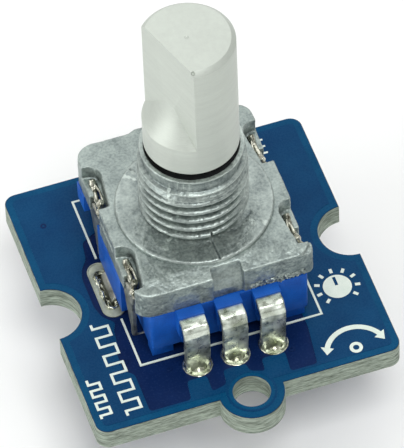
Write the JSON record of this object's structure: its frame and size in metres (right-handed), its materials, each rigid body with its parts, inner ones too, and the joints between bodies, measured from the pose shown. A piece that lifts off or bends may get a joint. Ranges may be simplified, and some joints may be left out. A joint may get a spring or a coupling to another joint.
{
  "type": "rotary encoder module",
  "caption": "Incremental rotary encoder with a threaded bushing and a D-shaft, soldered to a small square breakout board with a plug socket underneath.",
  "frame": {"origin": "on the board's centre, level with the rim of the plug socket underneath, which is the lowest point of the part", "axes": "+Z along the shaft, away from the board; +Y away from the edge that the three terminals face; +X to the right"},
  "size_m": [0.02, 0.0242, 0.0299],
  "materials": {
    "solder_mask": "blue solder mask over glass-epoxy board",
    "silkscreen": "white printing ink",
    "board_edge": "milled glass-epoxy edge",
    "zinc": "grainy zinc die casting",
    "steel": "bright plated sheet steel",
    "spring_steel": "spring steel",
    "tinned": "bright tin plating",
    "solder": "solder, shiny with a little dross",
    "blue_nylon": "moulded blue plastic",
    "black_nylon": "moulded black plastic",
    "shaft_aluminium": "satin turned aluminium",
    "gilt": "gold-flashed contact strip",
    "white_nylon": "moulded off-white plastic",
    "chip_black": "glazed black film on ceramic",
    "chip_ceramic": "tan sintered ceramic"
  },
  "bodies": {
    "module": {"circuit_board": "solder_mask", "encoder_housing": "zinc", "frame_bracket": "steel", "terminal_a": "tinned", "terminal_c": "tinned", "terminal_b": "tinned", "encoder_base": "blue_nylon", "detent_spring": "spring_steel", "thrust_washer": "gilt", "solder_joint_a": "solder", "solder_joint_c": "solder", "solder_joint_b": "solder", "solder_joint_leg_left": "solder", "solder_joint_leg_right": "solder", "socket_shell": "white_nylon", "socket_contact_1": "tinned", "socket_contact_2": "tinned", "socket_contact_3": "tinned", "socket_contact_4": "tinned", "socket_tab_front": "tinned", "socket_tab_back": "tinned", "pull_up_resistor_a": "chip_black", "pull_up_resistor_b": "chip_black", "filter_capacitor_a": "chip_ceramic", "filter_capacitor_b": "chip_ceramic"},
    "shaft_assembly": {"shaft": "shaft_aluminium", "rotor": "black_nylon", "code_disc": "gilt", "retaining_ring": "spring_steel"}
  },
  "joints": [
    {"name": "shaft_spin", "type": "hinge", "parent": "module", "child": "shaft_assembly", "pos_m": [0, 0.00065, 0.0076], "axis": [0, 0, 1], "continuous": true}
  ]
}
